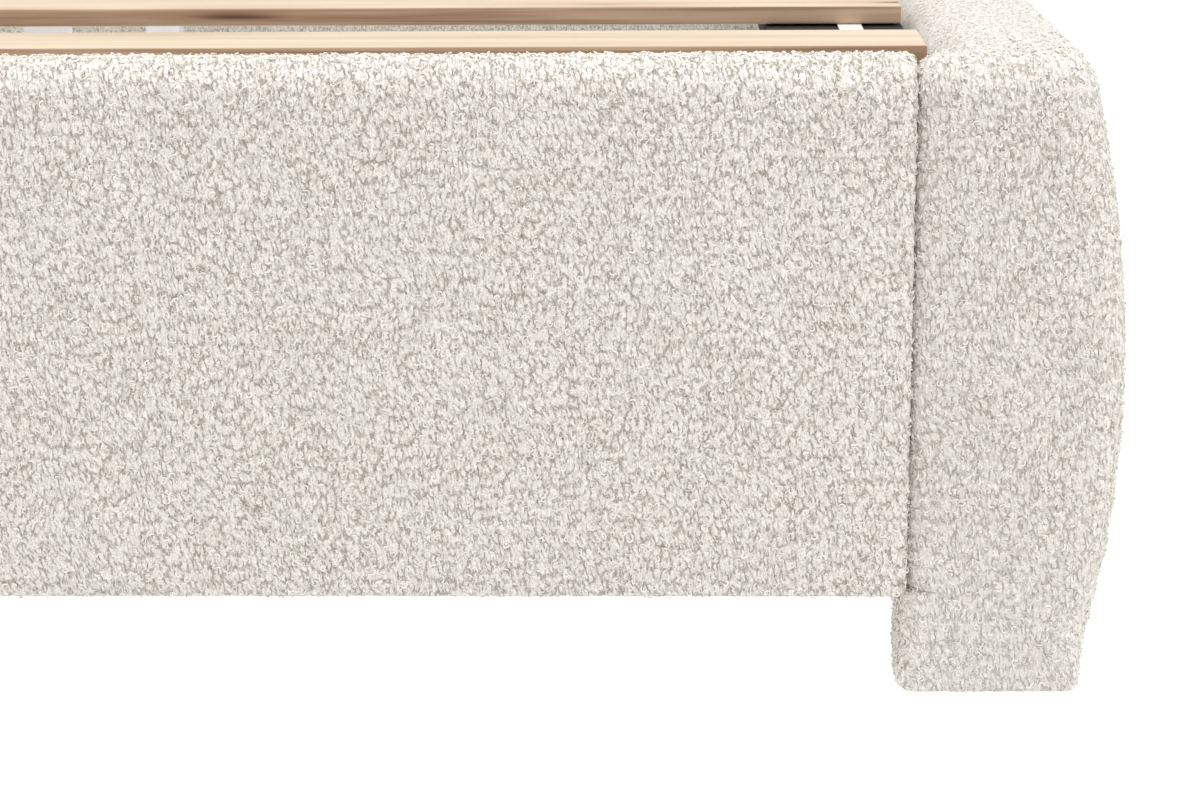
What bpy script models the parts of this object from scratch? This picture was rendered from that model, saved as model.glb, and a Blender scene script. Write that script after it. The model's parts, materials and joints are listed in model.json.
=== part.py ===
"""Queen platform bed, upholstered: padded headboard, two side rails, foot rail and a slat base.

Metres. X runs across the bed, Y from the foot (-Y) to the headboard (+Y), Z up.
The origin is on the floor, under the middle of the bed.
"""

import math

import bmesh
import bpy
from mathutils import Vector

GAP = 0.0003  # clearance between pieces that touch
PAST = 0.010  # how far a cutter runs past the face that it opens
OVERLAP = 0.002  # how far two cutters overlap, so that nothing is left between them
HALF_GAP = GAP / 2

# Overall plan
INNER_WIDTH = 1.540  # between the side rails' inner walls
INNER_LENGTH = 2.044  # between the foot rail and the headboard
FOOT_THICK = 0.066
HEAD_THICK = 0.112
FRONT_Y = -(FOOT_THICK + INNER_LENGTH + HEAD_THICK) / 2
FOOT_BACK_Y = FRONT_Y + FOOT_THICK
HEAD_Y = FOOT_BACK_Y + INNER_LENGTH
BACK_Y = HEAD_Y + HEAD_THICK
WALL_X = INNER_WIDTH / 2

# Side rail, in section; distances across are from the corner seam
SEAM_TO_WALL = 0.0138
SEAM_X = WALL_X - SEAM_TO_WALL
RAIL_TOP = 0.402
RAIL_BOTTOM = 0.064
LEG_FOOT = 0.003  # where the cover of a leg ends, just above the floor
OUTER_BULGE = 0.132  # widest point of the barrelled outer face
BULGE_Z = 0.195
BARREL_RADIUS = 0.760
SHOULDER_X = 0.090  # where the flat top ends
SHOULDER_RADIUS = 0.017
LEG_INSIDE = -0.007  # the leg stands this far in under the foot rail
LEG_TAPER = 0.10  # the leg's inner face runs outwards by this much per metre of depth
CAP_DEPTH = 0.040
LEG_DEPTH = 0.100
CAP_EDGE = 0.009
RAIL_EDGE = 0.036
FRONT_ROUND = 0.008
FOOT_DIP = 0.0025  # how far the foot rail's crest lies below the side rails' top
FOOT_FRONT_ROUND = 0.020
FOOT_BACK_ROUND = 0.044
FOOT_EDGE = 0.003
FOOT_END_ROUND = 0.0025

# Wooden cores
BOARD = 0.025
SKIN = 0.006  # thin padding over the boards' inner faces
CORE_TOP = 0.378
POST_LOW = Vector((SEAM_TO_WALL + SKIN, 0.016, 0.004))  # from seam, front and floor
POST_HIGH = Vector((0.094, 0.096, CORE_TOP))
FOOT_BOARD_Y = 0.034  # from the front plane
FOOT_BOARD_THICK = 0.022
FOOT_BOARD_END = 0.030

# Headboard
HEAD_TOP = 1.100
HEAD_HALF = SEAM_X + OUTER_BULGE
HEAD_CORNER = 0.130
HEAD_FRONT_ROUND = 0.028
HEAD_BACK_ROUND = 0.010
HEAD_MARGIN = 0.050  # padding round the panel's edge
HEAD_FOAM = 0.060  # padding before the panel
PANEL = 0.018
UPRIGHT = 0.030
UPRIGHT_WIDE = 0.060
UPRIGHT_DROP = 0.150  # the uprights stop this far below the headboard's top
LOW_BATTEN_Z = 0.090
BATTEN = 0.070
HEAD_LEG_IN = 0.125  # width of the padded leg at each side
COVER = 0.0015

# Slat base
SLAT_COUNT = 11
SLAT_WIDE = 0.070
SLAT_THICK = 0.0125
SLAT_PITCH = 0.188
SLAT_TOP = 0.397
SLAT_HALF = SEAM_X + 0.0123
FIRST_SLAT_Y = FRONT_Y + 0.0746
STRAP_WIDE = 0.016
STRAP_THICK = 0.0010
STRAP_X = SEAM_X - 0.023
LEDGE_WIDE = 0.094
LEDGE_THICK = 0.018
CLEAT = 0.032
CLEAT_DEEP = 0.045
CLEAT_END = 0.075

# Centre support
BEAM_WIDE = 0.045
BEAM_DEEP = 0.070
CROSS_DEEP = 0.090
CROSS_THICK = 0.028
CENTRE_LEG_YS = (-0.66, 0.0, 0.66)
CENTRE_LEG = 0.040
LEG_BOTTOM = 0.028
HANGER = 0.003
HANGER_DEEP = 0.040
HANGER_TALL = 0.060
STUD_RADIUS = 0.005
STUD_TOP = 0.055
STUD_HOLE_TOP = 0.076
FOOT_RADIUS = 0.018
FOOT_DEEP = 0.008
GLIDE_RADIUS = 0.014

# Corner brackets and their bolts
PLATE = 0.003
FLANGE = 0.060
BRACKET_LOW = 0.215
BRACKET_HIGH = 0.345
BOLT_RADIUS = 0.004
BOLT_HEAD_RADIUS = 0.0075
BOLT_HEAD = 0.005
BOLT_Z = 0.280
BOLT_ALONG = 0.035  # from the bracket's corner
RAIL_BOLT = 0.026
FOOT_BOLT = 0.024
HEAD_BOLT = 0.078
HOLE_CLEARANCE = 0.0004

SIDES = (("left", -1), ("right", 1))
ENDS = ("foot", "head")


# ---------------------------------------------------------------- helpers


def clear_scene():
    for obj in list(bpy.data.objects):
        bpy.data.objects.remove(obj, do_unlink=True)


def material(name, colour, roughness, metallic=0.0):
    mat = bpy.data.materials.new(name)
    mat.use_nodes = True
    shader = mat.node_tree.nodes["Principled BSDF"]
    shader.inputs["Base Color"].default_value = (*colour, 1.0)
    shader.inputs["Roughness"].default_value = roughness
    shader.inputs["Metallic"].default_value = metallic
    mat.diffuse_color = (*colour, 1.0)
    return mat


def finish(name, bm, mat, smooth=False):
    """Turn a bmesh into a named object with its faces pointing out."""
    bmesh.ops.recalc_face_normals(bm, faces=bm.faces)
    if bm.calc_volume(signed=True) < 0:
        bmesh.ops.reverse_faces(bm, faces=bm.faces)
    mesh = bpy.data.meshes.new(name)
    bm.to_mesh(mesh)
    bm.free()
    if smooth:
        mesh.shade_smooth()
        mesh.set_sharp_from_angle(angle=math.radians(35))
    obj = bpy.data.objects.new(name, mesh)
    bpy.context.scene.collection.objects.link(obj)
    if mat is not None:
        mesh.materials.append(mat)
    return obj


def loft(name, rings, mat, smooth=True):
    """A closed body through rings of points that all have the same count."""
    bm = bmesh.new()
    loops = [[bm.verts.new(point) for point in ring] for ring in rings]
    count = len(rings[0])
    for one, two in zip(loops, loops[1:]):
        for i in range(count):
            j = (i + 1) % count
            bm.faces.new((one[i], one[j], two[j], two[i]))
    bm.faces.new(loops[0])
    bm.faces.new(loops[-1])
    return finish(name, bm, mat, smooth)


def box_mesh(low, high, chamfer=0.0):
    bm = bmesh.new()
    bmesh.ops.create_cube(bm, size=1.0)
    size = Vector(high) - Vector(low)
    centre = (Vector(high) + Vector(low)) / 2
    for vert in bm.verts:
        vert.co = centre + Vector(a * b for a, b in zip(vert.co, size))
    if chamfer:
        bmesh.ops.bevel(bm, geom=list(bm.edges), offset=chamfer, segments=1, affect="EDGES")
    return bm


def board(name, low, high, mat, chamfer=0.0015):
    return finish(name, box_mesh(low, high, chamfer), mat)


def cylinder_mesh(start, end, radius, sides=16):
    start, end = Vector(start), Vector(end)
    bm = bmesh.new()
    bmesh.ops.create_cone(
        bm, cap_ends=True, segments=sides, radius1=radius, radius2=radius, depth=(end - start).length
    )
    turn = (end - start).to_track_quat("Z", "Y").to_matrix()
    for vert in bm.verts:
        vert.co = turn @ vert.co + (start + end) / 2
    return bm


def boolean(obj, tool_mesh, operation):
    """Cut or join with a tool mesh, leaving the result in the object's own mesh."""
    tool = finish("tool", tool_mesh, None)
    step = obj.modifiers.new("step", "BOOLEAN")
    step.object = tool
    step.operation = operation
    step.solver = "EXACT"
    result = bpy.data.meshes.new_from_object(obj.evaluated_get(bpy.context.evaluated_depsgraph_get()))
    obj.modifiers.remove(step)
    obj.data = result
    bpy.data.objects.remove(tool, do_unlink=True)


def cut(obj, *tool_meshes):
    for tool_mesh in tool_meshes:
        boolean(obj, tool_mesh, "DIFFERENCE")


def join(obj, *tool_meshes):
    for tool_mesh in tool_meshes:
        boolean(obj, tool_mesh, "UNION")


def arc(cx, cz, radius, start, end, steps):
    """Points on an arc, angles in degrees, both ends included."""
    angles = [math.radians(start + (end - start) * i / steps) for i in range(steps + 1)]
    return [(cx + radius * math.cos(a), cz + radius * math.sin(a)) for a in angles]


def inset(points, distance):
    """Move a closed outline's points inwards; the outline runs clockwise, with the inside on its right."""
    moved = []
    count = len(points)
    for i, point in enumerate(points):
        here = Vector(point)
        before = (here - Vector(points[i - 1])).normalized()
        after = (Vector(points[(i + 1) % count]) - here).normalized()
        normals = Vector((before.y, -before.x)) + Vector((after.y, -after.x))
        inward = normals / max(normals.length_squared / 2, 0.5)
        moved.append(tuple(here + inward * distance))
    return moved


def quarter_round(radius):
    """(depth, inset) pairs of a rounded edge, from its face to its side."""
    part = radius * (1 - math.sin(math.radians(45)))
    return [(0.0, radius), (part, part), (radius, 0.0)]


def mirror_x(points, side):
    return [(side * x, y, z) for x, y, z in points]


# ---------------------------------------------------------------- side rails


def outer_x(z):
    """Distance of the barrelled outer face from the seam at a height."""
    return OUTER_BULGE - BARREL_RADIUS + math.sqrt(BARREL_RADIUS**2 - (z - BULGE_Z) ** 2)


def rail_outline(depth, with_leg, capped):
    """The side rail's section as (distance from seam, height), clockwise from its inner bottom."""
    wall = HALF_GAP if capped else SEAM_TO_WALL
    edge = CAP_EDGE if capped else RAIL_EDGE
    ledge = RAIL_BOTTOM - GAP
    if with_leg:
        inside = LEG_INSIDE + LEG_TAPER * depth
        lower_inner = [
            (inside + 0.0125, LEG_FOOT),
            (inside + 0.004, LEG_FOOT + 0.004),
            (inside, LEG_FOOT + 0.012),
            (inside, ledge),
            (wall, ledge),
        ]
        corner = outer_x(LEG_FOOT)
        lower_outer = [(outer_x(0.045), 0.045), (outer_x(0.015), 0.015)]
        lower_outer += [(corner, LEG_FOOT), (corner / 2, LEG_FOOT)]
    else:
        lower_inner = arc(wall + 0.012, RAIL_BOTTOM + 0.012, 0.012, 270, 180, 4)
        lower_outer = arc(outer_x(RAIL_BOTTOM) - 0.008, RAIL_BOTTOM + 0.008, 0.008, 0, -90, 3)
    top = arc(wall + edge, RAIL_TOP - edge, edge, 180, 90, 4)
    shoulder = arc(SHOULDER_X, RAIL_TOP - SHOULDER_RADIUS, SHOULDER_RADIUS, 90, 17, 4)
    barrel = [(outer_x(z), z) for z in (0.360, 0.305, 0.250, 0.195, 0.140, 0.085)]
    return lower_inner + top + shoulder + barrel + lower_outer


def side_rail_pad(name, side, mat):
    """Padding and cover of a side rail, with the leg at its foot end, hollow for board and post."""
    stations = [(y, True, True, amount) for y, amount in quarter_round(FRONT_ROUND)]
    stations += [
        (CAP_DEPTH, True, True, 0.0),
        (CAP_DEPTH + 0.004, True, False, 0.0),
        (LEG_DEPTH, True, False, 0.0),
        (LEG_DEPTH + 0.004, False, False, 0.0),
        (HEAD_Y - FRONT_Y - GAP, False, False, 0.0),
    ]
    rings = []
    for depth, with_leg, capped, amount in stations:
        outline = inset(rail_outline(depth, with_leg, capped), amount)
        rings.append(mirror_x([(SEAM_X + x, FRONT_Y + depth, z) for x, z in outline], side))
    pad = loft(name, rings, mat)
    post_low, post_high = post_box(side, GAP)
    post_low.z = -PAST
    board_low, board_high = rail_board_box(side, GAP)
    board_low.z = RAIL_BOTTOM - PAST
    board_low.y -= OVERLAP
    board_high.y = HEAD_Y + PAST
    cut(pad, box_mesh(post_low, post_high), box_mesh(board_low, board_high))
    cut(pad, *[bolt_hole(start, end) for start, end in rail_bolt_lines(side)])
    return pad


def side_box(side, x_low, x_high, y_low, y_high, z_low, z_high, grow=0.0):
    """Corners of a box on one side of the bed, grown by a clearance."""
    xs = sorted((side * x_low, side * x_high))
    low = Vector((xs[0] - grow, y_low - grow, z_low - grow))
    high = Vector((xs[1] + grow, y_high + grow, z_high + grow))
    return low, high


def post_box(side, grow=0.0):
    low, high = POST_LOW, POST_HIGH
    return side_box(
        side, SEAM_X + low.x, SEAM_X + high.x, FRONT_Y + low.y, FRONT_Y + high.y, low.z, high.z, grow
    )


def rail_board_box(side, grow=0.0):
    return side_box(
        side,
        WALL_X + SKIN,
        WALL_X + SKIN + BOARD,
        FRONT_Y + POST_HIGH.y + GAP,
        HEAD_Y - GAP,
        RAIL_BOTTOM + 0.006,
        CORE_TOP,
        grow,
    )


def side_rails(mats):
    for word, side in SIDES:
        side_rail_pad(f"side_rail_pad_{word}", side, mats["boucle"])
        rail_board = board(f"side_rail_board_{word}", *rail_board_box(side), mats["plywood"])
        cut(rail_board, *[bolt_hole(start, end) for start, end in rail_bolt_lines(side)])
        board(f"corner_post_{word}", *post_box(side), mats["pine"])


# ---------------------------------------------------------------- foot rail


def foot_board_box(grow=0.0):
    half = SEAM_X - FOOT_BOARD_END
    low = Vector((-half - grow, FRONT_Y + FOOT_BOARD_Y - grow, RAIL_BOTTOM + 0.006 - grow))
    high = Vector(
        (half + grow, FRONT_Y + FOOT_BOARD_Y + FOOT_BOARD_THICK + grow, CORE_TOP + grow)
    )
    return low, high


def foot_rail(mats):
    """Padded foot rail between the two corner legs, and the board inside it."""
    low, top = RAIL_BOTTOM, RAIL_TOP - FOOT_DIP
    front, back = FRONT_Y, FOOT_BACK_Y
    outline = arc(front + FOOT_EDGE, low + FOOT_EDGE, FOOT_EDGE, 270, 180, 3)
    outline += arc(front + FOOT_FRONT_ROUND, top - FOOT_FRONT_ROUND, FOOT_FRONT_ROUND, 180, 90, 6)
    outline += arc(back - FOOT_BACK_ROUND, top - FOOT_BACK_ROUND, FOOT_BACK_ROUND, 90, 0, 8)
    outline += arc(back - FOOT_EDGE, low + FOOT_EDGE, FOOT_EDGE, 0, -90, 3)
    half = SEAM_X - HALF_GAP
    steps = [(half - depth, amount) for depth, amount in quarter_round(FOOT_END_ROUND)]
    stations = [(-x, amount) for x, amount in steps] + steps[::-1]
    rings = [[(x, y, z) for y, z in inset(outline, amount)] for x, amount in stations]
    pad = loft("foot_rail_pad", rings, mats["boucle"])
    low, high = foot_board_box(GAP)
    low.z = RAIL_BOTTOM - PAST
    cut(pad, box_mesh(low, high))
    foot_board = board("foot_rail_board", *foot_board_box(), mats["plywood"])
    for _, side in SIDES:
        for piece in (pad, foot_board):
            cut(piece, *[bolt_hole(start, end) for start, end in end_bolt_lines("foot", side)])


# ---------------------------------------------------------------- headboard


def headboard_outline():
    """Front view of the padding, clockwise from the left leg's inner bottom corner."""
    side = HEAD_HALF
    leg_in = side - HEAD_LEG_IN
    right = arc(side - HEAD_CORNER, HEAD_TOP - HEAD_CORNER, HEAD_CORNER, 90, 0, 6)
    right += [(side, LEG_FOOT), (leg_in, LEG_FOOT), (leg_in, RAIL_BOTTOM)]
    left = [(-x, z) for x, z in reversed(right)]
    return left + right


def panel_outline(grow=0.0):
    """Front view of the plywood panel, clockwise from its left bottom corner."""
    side = HEAD_HALF - HEAD_MARGIN + grow
    top = HEAD_TOP - HEAD_MARGIN + grow
    bottom = RAIL_BOTTOM + 0.010 - grow
    radius = HEAD_CORNER - HEAD_MARGIN + grow
    right = arc(side - radius, top - radius, radius, 90, 0, 4) + [(side, bottom)]
    return [(-x, z) for x, z in reversed(right)] + right


def headboard_pad(mats):
    """Foam and cover: front, top and side edges, with a leg at each side; open at the back."""
    outline = headboard_outline()
    front = [(HEAD_Y + depth, amount) for depth, amount in quarter_round(HEAD_FRONT_ROUND)]
    back = [(BACK_Y - depth, amount) for depth, amount in reversed(quarter_round(HEAD_BACK_ROUND))]
    rings = [[(x, y, z) for x, z in inset(outline, amount)] for y, amount in front + back]
    pad = loft("headboard_pad", rings, mats["boucle"])
    hollow = [
        [(x, y, z) for x, z in panel_outline(GAP)] for y in (HEAD_Y + HEAD_FOAM - GAP, BACK_Y + PAST)
    ]
    hollow_tool = bmesh.new()
    loops = [[hollow_tool.verts.new(point) for point in ring] for ring in hollow]
    for i in range(len(loops[0])):
        j = (i + 1) % len(loops[0])
        hollow_tool.faces.new((loops[0][i], loops[0][j], loops[1][j], loops[1][i]))
    hollow_tool.faces.new(loops[0])
    hollow_tool.faces.new(loops[1])
    cut(pad, hollow_tool)
    for _, side in SIDES:
        low, high = upright_box(side, GAP)
        low.z = -0.01
        high.z = 0.2
        high.y = BACK_Y + PAST
        cut(pad, box_mesh(low, high))
        cut(pad, *[bolt_hole(start, end) for start, end in end_bolt_lines("head", side)])


def upright_box(side, grow=0.0):
    outer = HEAD_HALF - HEAD_MARGIN
    y_low = HEAD_Y + HEAD_FOAM + PANEL + GAP
    return side_box(
        side, outer - UPRIGHT_WIDE, outer, y_low, y_low + UPRIGHT, 0.004, HEAD_TOP - UPRIGHT_DROP, grow
    )


def headboard(mats):
    headboard_pad(mats)
    panel_y = (HEAD_Y + HEAD_FOAM, HEAD_Y + HEAD_FOAM + PANEL)
    rings = [[(x, y, z) for x, z in panel_outline()] for y in panel_y]
    panel = loft("headboard_panel", rings, mats["plywood"], smooth=False)
    for _, side in SIDES:
        cut(panel, *[bolt_hole(start, end) for start, end in end_bolt_lines("head", side)])
    for word, side in SIDES:
        board(f"headboard_upright_{word}", *upright_box(side), mats["pine"])
    between = HEAD_HALF - HEAD_MARGIN - UPRIGHT_WIDE - GAP
    y_low = panel_y[1] + GAP
    for word, bottom in (("bottom", LOW_BATTEN_Z), ("top", HEAD_TOP - UPRIGHT_DROP - BATTEN)):
        low = (-between, y_low, bottom)
        high = (between, y_low + UPRIGHT, bottom + BATTEN)
        board(f"headboard_batten_{word}", low, high, mats["pine"])
    cover_y = y_low + UPRIGHT + GAP
    rings = [[(x, y, z) for x, z in inset(panel_outline(), GAP)] for y in (cover_y, cover_y + COVER)]
    loft("headboard_back_cover", rings, mats["dust_cover"], smooth=False)


# ---------------------------------------------------------------- slat base


def slats(mats):
    for number in range(SLAT_COUNT):
        y = FIRST_SLAT_Y + number * SLAT_PITCH
        low = (-SLAT_HALF, y, SLAT_TOP - SLAT_THICK)
        high = (SLAT_HALF, y + SLAT_WIDE, SLAT_TOP)
        board(f"slat_{number + 1:02d}", low, high, mats["pine"])


def straps(mats):
    """Webbing that ties the slats together, lying between them and the ledges."""
    top = SLAT_TOP - SLAT_THICK - GAP
    y_low = FIRST_SLAT_Y + 0.004
    y_high = FIRST_SLAT_Y + (SLAT_COUNT - 1) * SLAT_PITCH + SLAT_WIDE - 0.004
    for word, side in SIDES:
        low, high = side_box(
            side, STRAP_X - STRAP_WIDE / 2, STRAP_X + STRAP_WIDE / 2, y_low, y_high, top - STRAP_THICK, top
        )
        board(f"slat_strap_{word}", low, high, mats["webbing"], chamfer=0.0)


def ledge_top():
    return SLAT_TOP - SLAT_THICK - STRAP_THICK - 2 * GAP


def ledges(mats):
    """Black-lined ledges that carry the slats' ends, each on a cleat along the rail."""
    for word, side in SIDES:
        top = ledge_top()
        inner, wall = WALL_X - LEDGE_WIDE, WALL_X - GAP
        low, high = side_box(
            side, inner, wall, FOOT_BACK_Y + GAP, HEAD_Y - GAP, top - LEDGE_THICK, top
        )
        board(f"side_ledge_{word}", low, high, mats["lining"], chamfer=0.001)
        under = top - LEDGE_THICK - GAP
        y_low, y_high = FOOT_BACK_Y + CLEAT_END, HEAD_Y - CLEAT_END
        low, high = side_box(side, wall - CLEAT, wall, y_low, y_high, under - CLEAT_DEEP, under)
        board(f"ledge_cleat_{word}", low, high, mats["pine"])


# ---------------------------------------------------------------- centre support


def beam_top():
    return SLAT_TOP - SLAT_THICK - GAP


def cross_rail_y():
    return HEAD_Y - 0.010 - CROSS_THICK


def centre_beam(mats):
    top = beam_top()
    half = WALL_X - LEDGE_WIDE - GAP
    cross_y = cross_rail_y()
    low = (-half, cross_y, top - CROSS_DEEP)
    board("head_cross_rail", low, (half, cross_y + CROSS_THICK, top), mats["pine"])
    y_low = FOOT_BACK_Y + HANGER + 2 * GAP
    y_high = cross_y - HANGER - 2 * GAP
    low = (-BEAM_WIDE / 2, y_low, top - BEAM_DEEP)
    board("centre_beam", low, (BEAM_WIDE / 2, y_high, top), mats["pine"])
    beam_hanger("beam_hanger_foot", FOOT_BACK_Y + GAP, 1, mats)
    beam_hanger("beam_hanger_head", cross_y - GAP, -1, mats)


def beam_hanger(name, wall_y, inward, mats):
    """Steel stirrup: a back plate with a folded seat and two cheeks that hold the beam's end."""
    bottom = beam_top() - BEAM_DEEP - GAP
    inner = BEAM_WIDE / 2 + GAP
    outer = inner + HANGER
    cheek_top = bottom + HANGER_TALL

    def plate(x_low, x_high, depth_low, depth_high, z_low, z_high):
        ys = sorted((wall_y + inward * depth_low, wall_y + inward * depth_high))
        return box_mesh((x_low, ys[0], z_low), (x_high, ys[1], z_high))

    back = (-outer - 0.022, outer + 0.022, 0.0, HANGER, bottom - HANGER, cheek_top)
    hanger = finish(name, plate(*back), mats["steel"])
    join(
        hanger,
        plate(-outer, outer, HANGER / 2, HANGER_DEEP, bottom - HANGER, bottom),
        plate(-outer, -inner, HANGER / 2, HANGER_DEEP, bottom - HANGER / 2, cheek_top - 0.002),
        plate(inner, outer, HANGER / 2, HANGER_DEEP, bottom - HANGER / 2, cheek_top - 0.002),
    )


def centre_legs(mats):
    """Three square legs under the beam, each with a screw foot that turns in and out."""
    top = beam_top() - BEAM_DEEP - GAP
    for number, y in enumerate(CENTRE_LEG_YS, start=1):
        half = CENTRE_LEG / 2
        leg = board(
            f"centre_leg_{number}", (-half, y - half, LEG_BOTTOM), (half, y + half, top), mats["lacquer"]
        )
        clearance = STUD_RADIUS + HOLE_CLEARANCE
        cut(leg, cylinder_mesh((0, y, LEG_BOTTOM - PAST), (0, y, STUD_HOLE_TOP), clearance))
        levelling_foot(f"levelling_foot_{number}", y, mats)


def levelling_foot(name, y, mats):
    """A round foot on a threaded stud, with its origin on the stud's axis."""
    profile = [
        (FOOT_RADIUS - 0.001, 0.0),
        (FOOT_RADIUS, 0.001),
        (FOOT_RADIUS, 0.005),
        (FOOT_RADIUS * 0.5, FOOT_DEEP),
        (STUD_RADIUS, FOOT_DEEP + 0.001),
        (STUD_RADIUS, STUD_TOP - 0.001),
        (STUD_RADIUS - 0.001, STUD_TOP),
    ]
    sides = 20
    turns = [2 * math.pi * i / sides for i in range(sides)]
    rings = [[(r * math.cos(a), r * math.sin(a), z) for a in turns] for r, z in profile]
    foot = loft(name, rings, mats["plastic"])
    foot.location = (0.0, y, 0.0)


def glides(mats):
    """Nail-on glides under the four padded legs."""
    for word, side in SIDES:
        post = [(a + b) / 2 for a, b in zip(*post_box(side))]
        upright = [(a + b) / 2 for a, b in zip(*upright_box(side))]
        for end, centre in (("foot", post), ("head", upright)):
            bm = cylinder_mesh((centre[0], centre[1], 0.0), (centre[0], centre[1], 0.004 - GAP), GLIDE_RADIUS)
            finish(f"glide_{end}_{word}", bm, mats["plastic"], smooth=True)


# ---------------------------------------------------------------- brackets and bolts


def end_face(end):
    """(Y of the face that a corner bracket is bolted to, direction from it into the bed)."""
    return (FOOT_BACK_Y, 1) if end == "foot" else (HEAD_Y, -1)


def rail_bolt_lines(side):
    """Start and end of the two bolts that run sideways into one side rail."""
    lines = []
    for end in ENDS:
        face_y, inward = end_face(end)
        y = face_y + inward * BOLT_ALONG
        start = Vector((side * (WALL_X - PLATE - 2 * GAP), y, BOLT_Z))
        lines.append((start, start + Vector((side * RAIL_BOLT, 0, 0))))
    return lines


def end_bolt_lines(end, side):
    """Start and end of the bolt that runs lengthwise into the foot rail or the headboard."""
    face_y, inward = end_face(end)
    length = FOOT_BOLT if end == "foot" else HEAD_BOLT
    start = Vector((side * (WALL_X - BOLT_ALONG), face_y + inward * (PLATE + 2 * GAP), BOLT_Z))
    return [(start, start + Vector((0, -inward * length, 0)))]


def bolt_hole(start, end):
    """A clearance hole, a little longer than the bolt at both ends."""
    along = (end - start).normalized() * 0.001
    return cylinder_mesh(start - along, end + along, BOLT_RADIUS + HOLE_CLEARANCE, 12)


def bolt(name, start, end, mats):
    """Hexagon-headed bolt; the head's underside is at start."""
    along = (end - start).normalized()
    piece = finish(name, cylinder_mesh(start - along * 0.001, end, BOLT_RADIUS, 12), mats["zinc"], smooth=True)
    head = cylinder_mesh(start - along * (BOLT_HEAD + HALF_GAP), start - along * HALF_GAP, BOLT_HEAD_RADIUS, 6)
    join(piece, head)


def corner_bracket(name, end, side, mats):
    """Folded steel angle that ties a side rail to the foot rail or the headboard."""
    face_y, inward = end_face(end)
    wall = WALL_X - GAP
    face = face_y + inward * GAP

    def plate(x_low, x_high, depth):
        ys = sorted((face, face + inward * depth))
        return side_box(side, x_low, x_high, ys[0], ys[1], BRACKET_LOW, BRACKET_HIGH)

    bracket = finish(name, box_mesh(*plate(wall - PLATE, wall, FLANGE)), mats["steel"])
    join(bracket, box_mesh(*plate(wall - FLANGE, wall - PLATE / 2, PLATE)))
    lines = [line for line in rail_bolt_lines(side) if abs(line[0].y - face_y) < FLANGE]
    lines += end_bolt_lines(end, side)
    cut(bracket, *[bolt_hole(start, stop) for start, stop in lines])
    for word, (start, stop) in zip(("rail", "end"), lines):
        bolt(f"{name}_bolt_{word}", start, stop, mats)


def corner_brackets(mats):
    for end in ENDS:
        for word, side in SIDES:
            corner_bracket(f"bracket_{end}_{word}", end, side, mats)


def main():
    clear_scene()
    mats = {
        "boucle": material("boucle", (0.69, 0.66, 0.60), 0.95),
        "plywood": material("plywood", (0.55, 0.40, 0.25), 0.70),
        "pine": material("pine", (0.80, 0.66, 0.50), 0.60),
        "lacquer": material("lacquer", (0.82, 0.82, 0.84), 0.40),
        "lining": material("lining", (0.02, 0.018, 0.016), 0.90),
        "dust_cover": material("dust_cover", (0.03, 0.03, 0.03), 0.92),
        "webbing": material("webbing", (0.78, 0.76, 0.72), 0.85),
        "steel": material("steel", (0.10, 0.10, 0.11), 0.45, 0.8),
        "zinc": material("zinc", (0.62, 0.63, 0.65), 0.30, 1.0),
        "plastic": material("plastic", (0.05, 0.05, 0.05), 0.50),
    }
    side_rails(mats)
    foot_rail(mats)
    headboard(mats)
    slats(mats)
    straps(mats)
    ledges(mats)
    centre_beam(mats)
    centre_legs(mats)
    glides(mats)
    corner_brackets(mats)


main()
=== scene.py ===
"""Looks of the upholstered headboard bed: boucle covers, pine slats, linings and hardware."""

import json
import math

import bmesh
import bpy
import numpy as np
from mathutils import Matrix, Vector
from mathutils.bvhtree import BVHTree


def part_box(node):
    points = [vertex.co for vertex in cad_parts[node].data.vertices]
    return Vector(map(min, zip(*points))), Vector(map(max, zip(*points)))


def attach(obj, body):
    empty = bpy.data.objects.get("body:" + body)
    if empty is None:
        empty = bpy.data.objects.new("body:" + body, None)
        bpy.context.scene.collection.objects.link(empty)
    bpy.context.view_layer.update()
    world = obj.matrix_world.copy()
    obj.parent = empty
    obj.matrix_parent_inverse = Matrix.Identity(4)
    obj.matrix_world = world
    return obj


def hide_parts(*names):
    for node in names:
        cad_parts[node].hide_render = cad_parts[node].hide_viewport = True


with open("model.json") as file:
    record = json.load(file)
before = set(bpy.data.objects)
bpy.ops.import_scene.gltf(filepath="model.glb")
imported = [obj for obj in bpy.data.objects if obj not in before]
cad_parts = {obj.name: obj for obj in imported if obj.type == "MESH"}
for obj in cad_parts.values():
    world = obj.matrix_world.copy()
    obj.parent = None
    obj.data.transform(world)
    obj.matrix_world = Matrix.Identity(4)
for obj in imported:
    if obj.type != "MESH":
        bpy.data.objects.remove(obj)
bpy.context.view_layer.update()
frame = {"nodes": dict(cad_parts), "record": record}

# ---------------------------------------------------------------- places, from the CAD frame
FOOT_LOW, FOOT_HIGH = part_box("foot_rail_pad")
HEAD_LOW, HEAD_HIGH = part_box("headboard_pad")
LEDGE_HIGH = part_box("side_ledge_right")[1]
SLAT_LOW, SLAT_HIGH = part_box("slat_01")

SEAM = FOOT_HIGH.x
FRONT = FOOT_LOW.y
FOOT_BACK = FOOT_HIGH.y
HEAD = HEAD_LOW.y
BACK = HEAD_HIGH.y
RAIL_TOP = FOOT_HIGH.z
RAIL_BOTTOM = FOOT_LOW.z
WALL = LEDGE_HIGH.x - SEAM  # the rail's inner wall, out from the corner seam
BODY = "bed_frame"
SLAT_COUNT = sum(name.startswith("slat_") and name[5:].isdigit() for name in frame["nodes"])
SLAT_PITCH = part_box("slat_02")[0].y - SLAT_LOW.y
SEED = 7

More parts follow.
